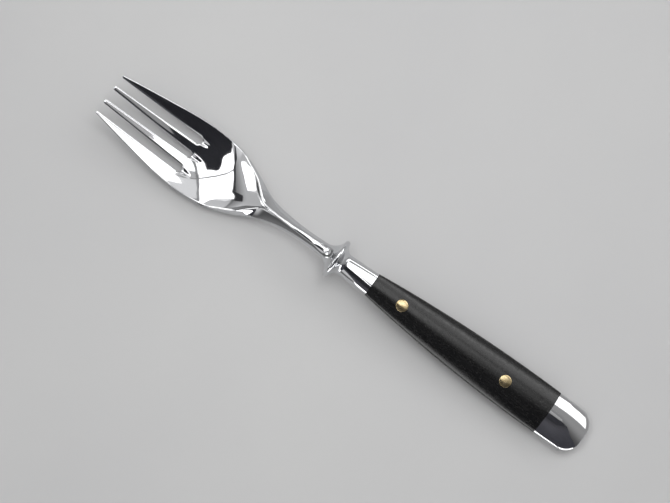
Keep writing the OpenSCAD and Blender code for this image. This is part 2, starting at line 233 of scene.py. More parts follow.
# The forging: head and neck
GAP_ROOT = GAP_LENGTH - GAP_HALF
NECK_FRONT = BOWL_LENGTH + 5
NECK_MIDDLE = BOWL_LENGTH + 12
NECK_THIN = BOWL_LENGTH + 19.5
FLARE_ROOT = NECK_RADIUS + 0.25
BOLSTER_ROOT = FRONT_HALF - 0.5
RIM_MIDDLE = COLLAR_RADIUS - RIM_HALF
FRONT_OFFSET = FLARE_ROOT + NECK_FLARE - RIM_MIDDLE
BACK_OFFSET = BOLSTER_ROOT + BOLSTER_FLARE - RIM_MIDDLE
FLARE_FRONT = math.sqrt((NECK_FLARE + RIM_HALF) ** 2 - FRONT_OFFSET ** 2)
FLARE_BACK = math.sqrt((BOLSTER_FLARE + RIM_HALF) ** 2 - BACK_OFFSET ** 2)
NECK_END = COLLAR_STATION - FLARE_FRONT * SLOPE_COSINE
NECK_END_HEIGHT = AXIS_HEIGHT + FLARE_FRONT * SLOPE_SINE
RIDGE_HALF = 0.3
RIDGE_END = 0.8
RIM_INSET = 0.2

# Lines along the head: knots (distance from the tips, value) in millimetres; the two rounds are powers
BOWL, HEAD, NECK, DISH = BOWL_LENGTH, HEAD_HALF, NECK_RADIUS, DISH_DEPTH
PLATE, END = BOWL_THICKNESS, NECK_END_HEIGHT
LINES = {
    "edge": [(0, TIP_SPREAD / 2), (.16 * BOWL, .765 * HEAD), (.32 * BOWL, .89 * HEAD),
             (.45 * BOWL, .978 * HEAD), (.58 * BOWL, HEAD), (.7 * BOWL, .94 * HEAD),
             (.81 * BOWL, .805 * HEAD), (.905 * BOWL, .6 * HEAD), (BOWL, .362 * HEAD),
             (NECK_FRONT, NECK + 1.18), (NECK_MIDDLE, NECK + .32), (NECK_THIN, NECK),
             (NECK_END, FLARE_ROOT)],
    "bowl": [(0, HEAD), (.7 * BOWL, .94 * HEAD), (.805 * BOWL, .72 * HEAD), (.868 * BOWL, .56 * HEAD),
             (.905 * BOWL, .44 * HEAD), (.947 * BOWL, .24 * HEAD), (.985 * BOWL, .07 * HEAD),
             (BOWL, RIDGE_HALF), (NECK_END, RIDGE_END)],
    "top": [(0, TIP_HEIGHT), (.18 * BOWL, .7 * TIP_HEIGHT), (.36 * BOWL, .435 * TIP_HEIGHT),
            (.54 * BOWL, PLATE + .65), (.65 * BOWL, PLATE), (.76 * BOWL, PLATE + .55),
            (.87 * BOWL, PLATE + 2.6), (BOWL, .68 * END + 1.6), (NECK_FRONT, .81 * END + 1.96),
            (NECK_MIDDLE, .935 * END + 2.05), (NECK_THIN, END + NECK - .38),
            (NECK_END, END + FLARE_ROOT - .06)],
    "thickness": [(0, TIP_THICKNESS), (.3 * BOWL, .75 * PLATE), (.65 * BOWL, PLATE),
                  (.76 * BOWL, PLATE + .2), (.9 * BOWL, PLATE + 1.2), (NECK_FRONT, 2 * NECK - .25),
                  (NECK_THIN, 2 * NECK), (NECK_END, 2 * FLARE_ROOT)],
    "dish": [(0, .25 * DISH), (.3 * BOWL, .52 * DISH), (.57 * BOWL, .89 * DISH), (.69 * BOWL, DISH),
             (.81 * BOWL, .86 * DISH), (.905 * BOWL, .52 * DISH), (BOWL, .02), (NECK_END, .005)],
    "shoulder": [(0, .15), (.62 * BOWL, .2), (.75 * BOWL, .8), (.87 * BOWL, 2.1), (BOWL, 2.75),
                 (NECK_FRONT, 2.6), (NECK_MIDDLE, 2.1), (NECK_THIN, 1.75), (NECK_END, 2.1)],
    "wall": [(0, .8), (.45 * BOWL, 1.3), (.66 * BOWL, 1.4), (.84 * BOWL, .9), (BOWL, .3),
             (NECK_MIDDLE, .02), (NECK_END, .005)],
    "shoulder_round": [(0, 1.3), (.85 * BOWL, 1.2), (BOWL, 1.12), (NECK_MIDDLE, 1.15), (NECK_THIN, 1.2),
                       (NECK_END, 1.3)],
    "land": [(0, .03), (.5 * BOWL, .03), (.65 * BOWL, .25), (.85 * BOWL, .5), (.96 * BOWL, .7),
             (NECK_FRONT, .1), (NECK_MIDDLE, .03), (NECK_END, .03)],
    "underside_round": [(0, 1), (.6 * BOWL, 1), (NECK_FRONT, .5), (NECK_END, .5)],
}


def hermite(knots, x):
    """Smooth curve through knots of rising x."""
    places, values = np.array(knots, float).T
    number = np.arange(len(places))
    before, after = np.maximum(number - 1, 0), np.minimum(number + 1, len(places) - 1)
    slopes = (values[after] - values[before]) / (places[after] - places[before])
    low = np.clip(np.searchsorted(places, x, side="left") - 1, 0, len(places) - 2)
    high = low + 1
    span = places[high] - places[low]
    share = (x - places[low]) / span
    rest = 1 - share
    between = values[low] * ease(rest) + values[high] * ease(share)
    return between + span * share * rest * (rest * slopes[low] - share * slopes[high])


# The lines on a fine row of stations, eased so that their curvature has no jumps
STATIONS = np.linspace(0, NECK_END, 4001)
LINE_EASE = {"bowl": 0.7, "dish": 1.6, "top": 2.2, "edge": 1.6}
OTHER_EASE = 1.2
EASE_REACH = 4


def eased(knots, spread):
    """Curve through knots, averaged along the fork over a spread in millimetres."""
    pitch = STATIONS[1] - STATIONS[0]
    reach = int(EASE_REACH * spread / pitch)
    weights = np.exp(-0.5 * (np.arange(-reach, reach + 1) * pitch / spread) ** 2)
    values = hermite(knots, STATIONS)
    first = 2 * values[0] - values[reach:0:-1]
    last = 2 * values[-1] - values[-2:-reach - 2:-1]
    return np.convolve(np.concatenate([first, values, last]), weights / weights.sum(), "valid")


CURVES = {name: eased(knots, LINE_EASE.get(name, OTHER_EASE)) for name, knots in LINES.items()}


def line(name, station):
    return np.interp(station, STATIONS, CURVES[name])


def bowl_half(station):
    return np.minimum(line("edge", station) - RIM_INSET, line("bowl", station))


def blank_top(station, across):
    """Top of the head before the gaps are cut: the dish, the flat on its rim and the shoulder."""
    half, bowl = line("edge", station), bowl_half(station)
    floor = line("top", station)
    rim = floor + line("dish", station)
    edge = rim - line("shoulder", station)
    bend = line("shoulder_round", station)
    land = bowl + line("land", station)
    out = np.clip((np.abs(across) - land) / np.maximum(half - land, TINY), 0, 1)
    shoulder = edge + (rim - edge) * (1 - out ** bend) ** (1 / bend)
    dish = floor + (rim - floor) * (across / bowl) ** 2
    return np.where(np.abs(across) <= bowl, dish, np.where(np.abs(across) <= land, rim, shoulder))


def blank_under(station, across):
    """Underside of the head, from the foot of its outer wall to its belly."""
    rim = line("top", station) + line("dish", station)
    wall = rim - line("shoulder", station) - line("wall", station)
    under = line("top", station) - line("thickness", station)
    share = np.clip(np.abs(across) / line("edge", station), 0, 1)
    return wall - (wall - under) * (1 - share * share) ** line("underside_round", station)


# Gaps between the tines, numbered -1, 0 and 1 across the fork
GAPS = (-1, 0, 1)
INNER_WIDEN = (GAP_PITCH - GAP_HALF - MIDDLE_GAP_HALF - INNER_TIP) / 2
OUTER_WIDEN = TIP_SPREAD / 2 - OUTER_TIP - GAP_PITCH - GAP_HALF
FAR = 99.0


def gap_half(gap):
    """Half the width of a gap at its root."""
    return GAP_HALF if gap else MIDDLE_GAP_HALF


def gap_side(gap, side, station):
    """Where a gap's wall is across the fork; side is -1 or 1."""
    widen = OUTER_WIDEN if gap * side > 0 else INNER_WIDEN
    toward_tip = np.clip((GAP_ROOT - station) / (GAP_ROOT - TIP_POINT), 0, 1)
    return gap * GAP_PITCH + side * (gap_half(gap) + widen * toward_tip)


def gap_distance(station, across):
    """Distance in plan to the nearest gap."""
    least = np.full(np.broadcast(station, across).shape, FAR)
    for gap in GAPS:
        beside = np.maximum(gap_side(gap, -1, station) - across, across - gap_side(gap, 1, station))
        behind = np.hypot(station - GAP_ROOT, across - gap * GAP_PITCH) - gap_half(gap)
        least = np.minimum(least, np.where(station < GAP_ROOT, beside, behind))
    return np.maximum(least, 0)


# Shallow groove that runs out behind each gap's root
RUNOUT_DEPTH = 0.65
RUNOUT_LENGTH = 5.0
RUNOUT_LAP = 1.0
RUNOUT_BLEND = 0.12


def runout_top(station, across, top):
    """Top of the metal with the grooves cut in."""
    for gap in GAPS:
        half = gap_half(gap)
        aside = np.abs(across - gap * GAP_PITCH)
        seat = blank_top(np.array(GAP_ROOT), np.array(gap * GAP_PITCH)) - RUNOUT_DEPTH
        groove = seat + half - np.sqrt(half ** 2 - np.minimum(aside, half) ** 2)
        groove = groove + np.where((aside > half) | (station < GAP_ROOT - RUNOUT_LAP), FAR, 0)
        groove = groove + np.maximum(station - GAP_ROOT - RUNOUT_LENGTH, 0) ** 2
        top = smooth_min(top, groove, RUNOUT_BLEND)
    return top


# Rounded edges and tips; a round takes at most a share of the metal's thickness
EDGE_ROUND = 0.45
EDGE_FADE_START = 0.8 * BOWL_LENGTH
GAP_ROUND = 0.06
UNDER_ROUND = 0.2
TINE_CROWN = 0.12
CROWN_REACH = 0.7
ROUND_SHARE = 0.3
TIP_ROUND = 0.7
TIP_WIDTH_SHARE = 0.04
TIP_THICKNESS_SHARE = 0.35


def tip_shape(station):
    """Shares of width and thickness that a tine keeps at its rounded tip."""
    short = 1 - np.clip(station / TIP_ROUND, 0, 1)
    rounded = np.sqrt(1 - short ** 2)
    width = TIP_WIDTH_SHARE + (1 - TIP_WIDTH_SHARE) * rounded
    return width, TIP_THICKNESS_SHARE + (1 - TIP_THICKNESS_SHARE) * rounded


def head_heights(station, across):
    """Top and underside of the finished head, with its rounded edges."""
    top = runout_top(station, across, blank_top(station, across))
    under = blank_under(station, across)
    gap = gap_distance(station, across)
    outer = np.maximum(line("edge", station) - np.abs(across), 0)
    most = ROUND_SHARE * (top - under)
    fade = np.clip((NECK_FRONT - station) / (NECK_FRONT - EDGE_FADE_START), 0, 1)
    edge = fade * np.minimum(EDGE_ROUND, most)
    crown = np.minimum(most, TINE_CROWN) * np.clip(1 - gap / CROWN_REACH, 0, 1) ** 2
    top = top - crown - fall(gap, GAP_ROUND, GAP_ROUND) - fall(outer, EDGE_ROUND, edge)
    return top, under + fall(gap, UNDER_ROUND, UNDER_ROUND) + fall(outer, UNDER_ROUND, edge)


# Fields across the head: tines and the gaps between them, with their numbers of columns
FIELDS = [("outer", -1), ("gap", -1), ("inner", -1), ("gap", 0), ("inner", 1), ("gap", 1), ("outer", 1)]
FIELD_STEPS = {"outer": 22, "inner": 18, "gap": 10}
SHOULDER_STEPS = 14
WALL_STEPS = 3
ROOT_END = GAP_ROOT + 5


def field_sides(kind, which, station):
    """Left and right edge of a tine or gap across the fork, without the shoulders."""
    if kind == "gap":
        return gap_side(which, -1, station), gap_side(which, 1, station)
    if kind == "inner":
        return gap_side(min(which, 0), 1, station), gap_side(max(which, 0), -1, station)
    if which < 0:
        return -bowl_half(station), gap_side(-1, -1, station)
    return gap_side(1, 1, station), bowl_half(station)


def shoulder_columns(station):
    """Positions from the bowl's edge to the outer edge."""
    bowl = bowl_half(station)
    land = bowl + line("land", station)
    slope = land + (line("edge", station) - land) * half_steps(SHOULDER_STEPS - 2)
    return np.concatenate([[bowl, (bowl + land) / 2], slope])


def closed_loop(x, y, top, under):
    """Points around a section: along the top, down the right wall, back below and up the left wall."""
    share = np.arange(1, WALL_STEPS) / WALL_STEPS
    right = top[-1] + (under[-1] - top[-1]) * share
    left = under[0] + (top[0] - under[0]) * share
    x = np.broadcast_to(x, y.shape)
    return np.concatenate([
        np.stack([x, y, top], -1),
        np.stack([np.full_like(share, x[-1]), np.full_like(share, y[-1]), right], -1),
        np.stack([x, y, under], -1)[::-1],
        np.stack([np.full_like(share, x[0]), np.full_like(share, y[0]), left], -1),
    ])


def tine_loop(kind, which, station):
    """Section loop of one tine, drawn in at its tip."""
    width, thickness = tip_shape(station)
    left, right = field_sides(kind, which, station)
    y = left + (right - left) * steps(FIELD_STEPS[kind])
    if kind == "outer":
        shoulder = shoulder_columns(station)
        y = np.concatenate([y, shoulder[1:]] if which > 0 else [-shoulder[:0:-1], y])
    top, under = head_heights(np.full_like(y, station), y)
    middle, height = (y[0] + y[-1]) / 2, (top + under) / 2
    top, under = height + (top - height) * thickness, height + (under - height) * thickness
    return closed_loop(station, middle + (y - middle) * width, top, under)


def bowl_across(station):
    """Positions across the bowl and neck, from edge to edge, and the numbers where each field starts."""
    grow = bowl_half(station) / bowl_half(GAP_ROOT)
    shoulder = shoulder_columns(station)
    y, starts = [-shoulder[::-1]], []
    count = len(shoulder)
    for kind, which in FIELDS:
        left, right = field_sides(kind, which, GAP_ROOT)
        starts.append(count - 1)
        y.append(grow * (left + (right - left) * steps(FIELD_STEPS[kind])[1:]))
        count += FIELD_STEPS[kind]
    y.append(shoulder[1:])
    return np.concatenate(y), starts


def gap_columns(starts):
    """Each gap with the numbers of its columns across the bowl."""
    for (kind, which), start in zip(FIELDS, starts):
        if kind == "gap":
            yield which, np.arange(start, start + FIELD_STEPS["gap"] + 1)


def bowl_loop(station):
    """Section loop of the bowl."""
    y, _ = bowl_across(station)
    top, under = head_heights(np.full_like(y, station), y)
    return closed_loop(station, y, top, under)


def root_loop(share):
    """Loop behind the gaps: at share 0 it follows their round roots, and at 1 it is straight."""
    station = GAP_ROOT + (ROOT_END - GAP_ROOT) * share
    y, starts = bowl_across(station)
    x = np.full_like(y, station)
    for gap, columns in gap_columns(starts):
        aside = y[columns] - gap * GAP_PITCH
        root = GAP_ROOT + np.sqrt(np.maximum(gap_half(gap) ** 2 - aside ** 2, 0))
        x[columns] = root + (ROOT_END - root) * share
    top, under = head_heights(x, y)
    return closed_loop(x, y, top, under)


# The neck's section turns round over the last stretch before the flare
FLARE_BLEND = 3.0
OUTLINE_STEPS = 600


def neck_middle(station):
    return line("top", station) - line("thickness", station) / 2


def neck_loop(station, angles):
    """Section loop of the neck at given angles around its middle, going round towards the flare."""
    y = line("edge", station) * np.sin(np.linspace(-np.pi / 2, np.pi / 2, OUTLINE_STEPS))
    x = np.full_like(y, station)
    middle = neck_middle(station)
    top, under = blank_top(x, y) - middle, blank_under(x, y) - middle
    outline = np.concatenate([np.stack([y, top], -1), np.stack([y, under], -1)[::-1]])
    turn = np.arctan2(outline[:, 1], outline[:, 0])
    radius = np.interp(angles, turn, np.hypot(*outline.T), period=2 * np.pi)
    blend = ease(np.clip((station - NECK_END) / FLARE_BLEND + 1, 0, 1))
    radius = radius + (line("thickness", station) / 2 - radius) * blend
    x = np.full_like(angles, station)
    return np.stack([x, radius * np.cos(angles), middle + radius * np.sin(angles)], -1)


def loop_angles(loop):
    """Angles of a loop's points around the neck's middle."""
    middle = neck_middle(loop[0, 0])
    turn = np.unwrap(np.arctan2(loop[:, 2] - middle, loop[:, 1]))
    return turn if turn[0] > 0 else turn + 2 * np.pi


# Points of the collar's arcs; the neck's last loop stands for the first few of the front flare
FRONT_POINTS = 22
RIM_POINTS = 26
BACK_POINTS = 18
NECK_LAP = 3


def collar_profile():
    """Points (along the axis, radius) of the front flare behind the neck, the rim and the back flare."""
    low, high = math.atan2(-FRONT_OFFSET, FLARE_FRONT), math.atan2(BACK_OFFSET, FLARE_BACK)
    front = arc((-FLARE_FRONT, FLARE_ROOT + NECK_FLARE), NECK_FLARE, -np.pi / 2, low, FRONT_POINTS)
    rim = arc((0, RIM_MIDDLE), RIM_HALF, np.pi + low, high, RIM_POINTS)
    middle = (FLARE_BACK, BOLSTER_ROOT + BOLSTER_FLARE)
    back = arc(middle, BOLSTER_FLARE, np.pi + high, 3 * np.pi / 2, BACK_POINTS)
    return np.concatenate([front[NECK_LAP:], rim[1:], back[1:]])


# The bolster is a little fuller at the collar
BOLSTER_FULL = 0.12
BOLSTER_BLEND = 0.3
ROUND_POWER = 2.0
SCALE_POWER = 3.2
BOLSTER_ROWS = 26


def bolster_radius(x, angles):
    """Distance from the axis to the bolster, whose section goes from round to the scales' shape."""
    share = x / SCALE_START
    width = BOLSTER_HALF + (side_half(SCALE_START) - BOLSTER_HALF) * share
    power = ROUND_POWER + (SCALE_POWER - ROUND_POWER) * share
    height = crown_half(x) + BOLSTER_FULL * (1 - share)
    across, up = np.abs(np.cos(angles)) / width, np.abs(np.sin(angles)) / height
    return (across ** power + up ** power) ** (-1 / power)


def with_bolster(radius, x, angles):
    """The greater of a radius and the bolster's, rounded where they meet."""
    return -smooth_min(np.full_like(angles, -radius), -bolster_radius(x, angles), BOLSTER_BLEND)


def collar_loops(angles):
    """Loops of the collar and the bolster, up to the scales."""
    rings = []
    for x, radius in collar_profile():
        rings.append((x, with_bolster(radius, x, angles) if x > RIM_HALF else np.full_like(angles, radius)))
    for x in np.linspace(FLARE_BACK, SCALE_START, BOLSTER_ROWS)[1:-1]:
        rings.append((x, with_bolster(BOLSTER_ROOT, x, angles)))
    rings.append((SCALE_START, bolster_radius(SCALE_START, angles)))
    return [np.stack([np.full_like(angles, x), radius * np.cos(angles), radius * np.sin(angles)], -1)
            for x, radius in rings]


# Rows of the mesh along the head
TIP_ROWS = [0.0, .03, .09, .18, .3, .45, .6, .8, 1.1, 1.5]
TIP_END = 2.0
TINE_ROWS = 58
ROOT_ROWS = 18
ROOT_CROWDING = 1.5
BOWL_ROWS = 86
NECK_ROWS = 40


def add_tines(shell):
    stations = np.concatenate([TIP_ROWS, np.linspace(TIP_END, GAP_ROOT, TINE_ROWS)])
    for kind, which in FIELDS:
        if kind != "gap":
            loops = [tine_loop(kind, which, station) for station in stations]
            ids = shell.add(from_tips(loops))
            shell.tube(ids)
            shell.face(ids[0][::-1])


def add_gap_walls(shell, loop):
    """Round walls at the gaps' roots, from the top to the underside of the bowl's first loop."""
    columns, starts = bowl_across(GAP_ROOT)
    for _, part in gap_columns(starts):
        top, under = loop[part], loop[2 * len(columns) + WALL_STEPS - 2 - part]
        high, low = np.array(shell.points)[[top, under]]
        rows = [shell.add(high + (low - high) * step / WALL_STEPS) for step in range(1, WALL_STEPS)]
        shell.grid(np.array([top, *rows, under]))


def make_forging(material):
    shell = Shell()
    add_tines(shell)
    roots = [root_loop(share) for share in np.linspace(0, 1, ROOT_ROWS) ** ROOT_CROWDING]
    bowl = [bowl_loop(station) for station in np.linspace(ROOT_END, NECK_FRONT, BOWL_ROWS)[1:]]
    angles = loop_angles(bowl[-1])
    even = np.pi - 2 * np.pi * np.arange(len(angles)) / len(angles)
    neck = []
    for share in np.linspace(0, 1, NECK_ROWS)[1:]:
        station = NECK_FRONT + (NECK_END - NECK_FRONT) * share
        neck.append(neck_loop(station, angles + (even - angles) * ease(share)))
    ids = shell.add(np.concatenate([from_tips(roots + bowl + neck), along_handle(collar_loops(even))]))
    shell.tube(ids)
    shell.face(ids[-1])
    add_gap_walls(shell, ids[0])
    add_tang(shell)
    shell.build("fork_steel", material, "fork_forging")


# Slabs along the handle: the tang and the scales, with a window of rows and columns around each rivet
COLUMNS = 2 * steps(34) - 1
WINDOW_COLUMNS = (11, 23)
WINDOW_ROWS = 12
WINDOW_HALF = 3.4
ROW_PITCH = 1.1
LAST_ROWS = 11
RING_SHARES = (0.35, 0.65, 0.85, 0.95, 1)


def slab_rows():
    """Stations along the scales, and for each rivet its station and its window's first and last row."""
    rows, windows = [[SCALE_START]], []
    last = SCALE_START
    for rivet in (FRONT_RIVET, REAR_RIVET):
        low, high = rivet - WINDOW_HALF, rivet + WINDOW_HALF
        rows.append(np.linspace(last, low, max(2, round((low - last) / ROW_PITCH)))[1:])
        first = sum(len(part) for part in rows) - 1
        rows.append(np.linspace(low, high, WINDOW_ROWS + 1)[1:])
        windows.append((rivet, first, first + WINDOW_ROWS))
        last = high
    rows.append(np.linspace(last, CAP_START, LAST_ROWS + 1)[1:])
    return np.concatenate(rows), windows


def window_border(first, last):
    """Row and column numbers around one window of a slab, in order."""
    low, high = WINDOW_COLUMNS
    rows, columns = np.arange(first, last), np.arange(low, high)
    row = np.concatenate([rows, np.full(high - low, last), rows[::-1] + 1, np.full(high - low, first)])
    ends = np.full(last - first, low), np.full(last - first, high)
    return row, np.concatenate([ends[0], columns, ends[1], columns[::-1] + 1])


def pierced_slab(shell, top, under, hole, seat_radius, seat):
    """A slab as wide as the handle with a hole at each rivet, wider from the seat's height to the top."""
    x, windows = slab_rows()
    plan_x, plan_y = np.broadcast_arrays(x[:, None], side_half(x)[:, None] * COLUMNS)

    def sheet(height):
        ids = shell.add(along_handle(np.stack([plan_x, plan_y, height(plan_x, plan_y)], -1)))
        keep = np.ones((len(x) - 1, len(COLUMNS) - 1), bool)
        for _, first, last in windows:
            keep[first:last, slice(*WINDOW_COLUMNS)] = False
        shell.grid(ids, keep)
        return ids

    def hole_edge(ids, window, height, radius):
        """Rings from a window's border to the hole's edge; returns the last one and its angles."""
        rivet, first, last = window
        row, column = window_border(first, last)
        out_x, out_y = plan_x[row, column] - rivet, plan_y[row, column]
        angle = np.arctan2(out_y, out_x)
        rings = [ids[row, column]]
        for share in RING_SHARES:
            ring_x = rivet + out_x + (radius * np.cos(angle) - out_x) * share
            ring_y = out_y + (radius * np.sin(angle) - out_y) * share
            rings.append(shell.add(along_handle(np.stack([ring_x, ring_y, height(ring_x, ring_y)], -1))))
        shell.tube(rings)
        return rings[-1], angle

    upper, lower = sheet(top), sheet(under)
    for column in (0, -1):
        shell.grid(np.stack([upper[:, column], lower[:, column]], 1))
    for row in (0, -1):
        shell.grid(np.stack([upper[row], lower[row]]))
    for window in windows:
        rim, angle = hole_edge(upper, window, top, seat_radius)
        foot, _ = hole_edge(lower, window, under, hole)
        rivet = window[0]
        ledge = [circle(rivet, radius, seat(rivet), angle) for radius in (seat_radius, hole)]
        shell.tube([rim, *shell.add(along_handle(ledge)), foot])


def circle(x, radius, height, angle):
    """Points of a level ring around a rivet's middle."""
    return np.stack([x + radius * np.cos(angle), radius * np.sin(angle), np.full_like(angle, height)], -1)


def level(height):
    return lambda x, y: np.full_like(x, height)


def head_seat(x):
    """Height of the seat under a rivet's head."""
    return crown_half(x) - RIVET_DEPTH


# The handle's edges: a narrow bevel, then a tight round
EDGE_EASE = 0.3
EDGE_DROP = 0.5
BEVEL = 0.5
BEVEL_SLOPE = 0.3


def edge_fall(side):
    """Drop of the handle's top at a distance from its edge."""
    return fall(side, EDGE_EASE, EDGE_DROP) + BEVEL_SLOPE * np.maximum(BEVEL - side, 0)


def scale_top(x, y):
    return crown_top(x, y) - edge_fall(np.maximum(side_half(x) - np.abs(y), 0))


def make_scale(name, node, up, material):
    """One scale: up is 1 above the tang and -1 below it."""
    shell = Shell()
    pierced_slab(shell, lambda x, y: up * scale_top(x, y), level(up * TANG_HALF),
                 SLEEVE_RADIUS + CLEARANCE, RIVET_RADIUS + CLEARANCE, lambda x: up * head_seat(x))
    shell.build(name, material, node)


TENON_LAP = 0.05


def add_tang(shell):
    """The flat tang between the scales and its tenon in the cap."""
    hole = SLEEVE_RADIUS + CLEARANCE
    pierced_slab(shell, level(TANG_HALF), level(-TANG_HALF), hole, hole, lambda x: 0)
    half = np.array([TENON_HALF, TANG_HALF])
    corners = half * [(-1, -1), (1, -1), (1, 1), (-1, 1)]
    ends = (CAP_START - TENON_LAP, CAP_START + TENON_LENGTH)
    shell.plugged_tube(shell.add(along_handle([[(x, y, z) for y, z in corners] for x in ends])))


# End cap
CORNER_STATION = HANDLE_LENGTH - CAP_CORNER
CORNER_SIDE = side_half(CORNER_STATION) - CAP_CORNER
CAP_ROWS = 17
CORNER_ROWS = 28


def cap_half(x):
    """Half the cap's width, with its round corners."""
    around = np.clip(x - CORNER_STATION, 0, CAP_CORNER)
    corner = CORNER_SIDE + np.sqrt(CAP_CORNER ** 2 - around ** 2)
    return np.where(x < CORNER_STATION, side_half(x), corner)


def cap_edge_distance(x, y):
    """Distance in plan from the cap's sides, round corners and butt."""
    along, across = np.maximum(x - CORNER_STATION, 0), np.maximum(np.abs(y) - CORNER_SIDE, 0)
    corner = CAP_CORNER - np.hypot(along, across)
    return np.maximum(np.where(x < CORNER_STATION, side_half(x) - np.abs(y), corner), 0)


def cap_top(x, y):
    away = np.maximum(x - FALL_START, 0)
    fallen = CAP_CREST - FALL_RADIUS + np.sqrt(FALL_RADIUS ** 2 - away ** 2)
    drop = np.where(x > FALL_START, np.maximum(crown_half(x) - fallen, 0), 0)
    return crown_top(x, y) - drop - edge_fall(cap_edge_distance(x, y))


def make_cap(material):
    shell = Shell()
    straight = np.linspace(CAP_START, CORNER_STATION, CAP_ROWS)
    corner = CORNER_STATION + CAP_CORNER * np.sin(np.linspace(0, np.pi / 2, CORNER_ROWS))
    loops = []
    for x in np.concatenate([straight, corner[1:]]):
        y = cap_half(x) * COLUMNS
        top = cap_top(np.full_like(y, x), y)
        loops.append(closed_loop(x, y, top, -top))
    ids = shell.add(along_handle(loops))
    shell.tube(ids)
    shell.face(ids[-1])
    section = loops[0]
    socket = np.array([TENON_HALF + CLEARANCE, TANG_HALF + CLEARANCE])
    shrink = np.min(socket / np.maximum(np.abs(section[:, 1:]), TINY), axis=1)
    mouth = section * np.stack([np.ones_like(shrink), shrink, shrink], -1)
    bottom = mouth + [TENON_LENGTH + CLEARANCE, 0, 0]
    inner = shell.add(along_handle([mouth, bottom]))
    shell.tube([ids[0], inner[0], inner[1]])
    shell.face(inner[1])
    shell.build("butt_cap", material, "end_cap")


# Rivets
RIVET_STEPS = 56
RIVET_ANGLES = 2 * np.pi * np.arange(RIVET_STEPS) / RIVET_STEPS
RIVET_EASE = 0.2
RIVET_DOME = 0.12
HEAD_SHARES = (.12, .3, .5, .68, .82, .91, .955, .98, .993, 1)


def ring_at(x, radius, height):
    return circle(x, radius, height, RIVET_ANGLES)


def rivet_rings(rivet, up, shaft):
    """Rings of a rivet's head, from its middle over the rim to its seat and in to the shaft's radius."""
    rings = []
    for share in HEAD_SHARES:
        radius = RIVET_RADIUS * share
        x, y = rivet + radius * np.cos(RIVET_ANGLES), radius * np.sin(RIVET_ANGLES)
        rise = RIVET_DOME * (1 - share ** 2) - fall(RIVET_RADIUS - radius, RIVET_EASE, RIVET_EASE / 2)
        rings.append(np.stack([x, y, up * (crown_top(x, y) + rise)], -1))
    return rings + [ring_at(rivet, radius, up * head_seat(rivet)) for radius in (RIVET_RADIUS, shaft)]


def make_rivet_half(name, node, rings, material):
    shell = Shell()
    shell.plugged_tube(shell.add(along_handle(rings)))
    shell.build(name, material, node)


def make_rivet(where, x, material):
    """A two-part rivet: the stem from above and the sleeve from below."""
    seat, bore = head_seat(x), STEM_RADIUS + CLEARANCE
    stem = rivet_rings(x, 1, STEM_RADIUS) + [ring_at(x, STEM_RADIUS, CLEARANCE - seat)]
    make_rivet_half(f"{where}_stem", f"{where}_rivet_stem", stem, material)
    mouth = seat - CLEARANCE
    sleeve = rivet_rings(x, -1, SLEEVE_RADIUS)
    sleeve += [ring_at(x, SLEEVE_RADIUS, mouth), ring_at(x, bore, mouth), ring_at(x, bore, -seat)]
    make_rivet_half(f"{where}_sleeve", f"{where}_rivet_sleeve", sleeve, material)


# Materials
class Paint:
    """Short forms for building a material's nodes."""

    def __init__(self, name):
        self.material = bpy.data.materials.new(name)
        self.material.use_nodes = True
        self.tree = self.material.node_tree
        self.shader = self.tree.nodes["Principled BSDF"]
        self.place = self.tree.nodes.new("ShaderNodeTexCoord").outputs["Object"]

    def link(self, start, node, socket):
        self.tree.links.new(start, node.inputs[socket])

    def stretched(self, scale):
        node = self.tree.nodes.new("ShaderNodeMapping")
        node.inputs["Scale"].default_value = scale
        self.link(self.place, node, "Vector")
        return node.outputs["Vector"]

    def noise(self, scale, stretch=(1, 1, 1), detail=3, roughness=0.5):
        node = self.tree.nodes.new("ShaderNodeTexNoise")
        node.inputs["Scale"].default_value = scale
        node.inputs["Detail"].default_value = detail
        node.inputs["Roughness"].default_value = roughness
        self.link(self.stretched(stretch), node, "Vector")
        return node.outputs["Fac"]

    def spread(self, value, low, high, start=0.3, end=0.7):
        """Brings a value from one range to another."""
        node = self.tree.nodes.new("ShaderNodeMapRange")
        set_range(node, start, end, low, high)
        self.link(value, node, "Value")
        return node.outputs["Result"]

    def mixed(self, value, first, second):
        """Goes from a first colour, which may come from another node, to a second one."""
        node = self.tree.nodes.new("ShaderNodeMix")
        node.data_type = "RGBA"
        if isinstance(first, bpy.types.NodeSocket):
            self.link(first, node, "A")
        else:
            node.inputs["A"].default_value = (*first, 1)
        node.inputs["B"].default_value = (*second, 1)
        self.link(value, node, "Factor")
        return node.outputs["Result"]

    def bump(self, height, distance, strength=1.0, normal=None):
        node = self.tree.nodes.new("ShaderNodeBump")
        node.inputs["Strength"].default_value = strength
        node.inputs["Distance"].default_value = distance
        self.link(height, node, "Height")
        if normal is not None:
            self.link(normal, node, "Normal")
        return node.outputs["Normal"]

    def finish(self, color, roughness, normal, metallic=0.0, **values):
        self.link(color, self.shader, "Base Color")
        self.link(roughness, self.shader, "Roughness")
        self.link(normal, self.shader, "Normal")
        self.shader.inputs["Metallic"].default_value = metallic
        for socket, value in values.items():
            self.shader.inputs[socket.replace("_", " ")].default_value = value
        return self.material


def set_range(node, start, end, low, high):
    for socket, value in zip(("From Min", "From Max", "To Min", "To Max"), (start, end, low, high)):
        node.inputs[socket].default_value = value


def polished_steel(name, tint, rough):
    """Mirror-polished steel with faint polishing lines and worn patches."""
    paint = Paint(name)
    worn = paint.noise(60, detail=4)
    waves = paint.noise(170, detail=1)
    lines = paint.noise(900, (0.25, 4, 4), detail=2)
    color = paint.mixed(paint.spread(worn, 0, 1), [0.96 * channel for channel in tint], tint)
    roughness = paint.spread(worn, rough, 1.7 * rough)
    normal = paint.bump(lines, 1e-6, 0.12, paint.bump(waves, 2e-5, 0.5))
    return paint.finish(color, roughness, normal, metallic=1.0)


